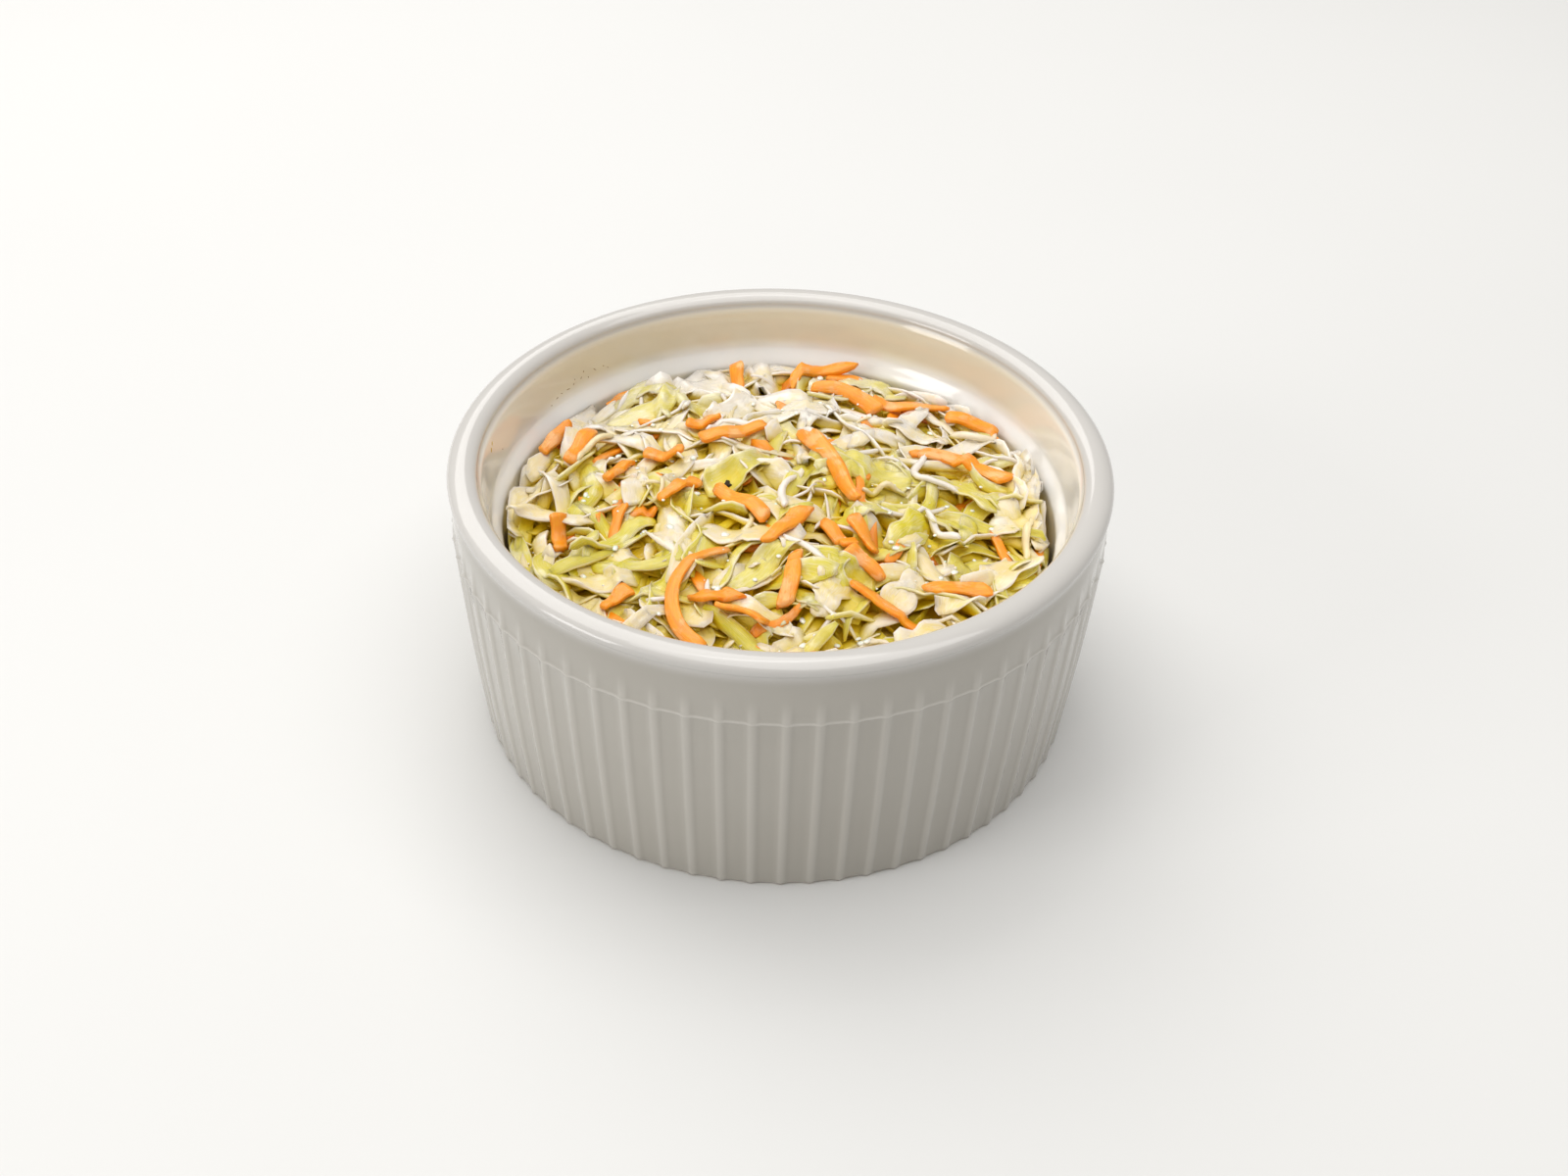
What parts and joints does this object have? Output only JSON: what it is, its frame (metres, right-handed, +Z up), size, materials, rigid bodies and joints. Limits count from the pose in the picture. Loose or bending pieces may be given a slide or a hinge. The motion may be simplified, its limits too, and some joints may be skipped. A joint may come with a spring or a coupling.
{
  "type": "coleslaw in a ramekin",
  "caption": "Round white ramekin with a fluted wall, rounded lip and inner ledge, filled with a heap of shredded cabbage and carrot in dressing.",
  "frame": {"origin": "middle of the foot, on the surface that the dish stands on", "axes": "+Z up along the dish's axis; the dish is round, and +Y runs away from the viewer in the picture"},
  "size_m": [0.1032, 0.1032, 0.046],
  "materials": {
    "glaze": "gloss",
    "cabbage": "satin",
    "green_cabbage": "satin",
    "carrot": "satin",
    "dressing": "gloss",
    "pepper": "matte"
  },
  "bodies": {
    "root": {"ramekin": "glaze", "coleslaw": "cabbage"}
  },
  "joints": []
}
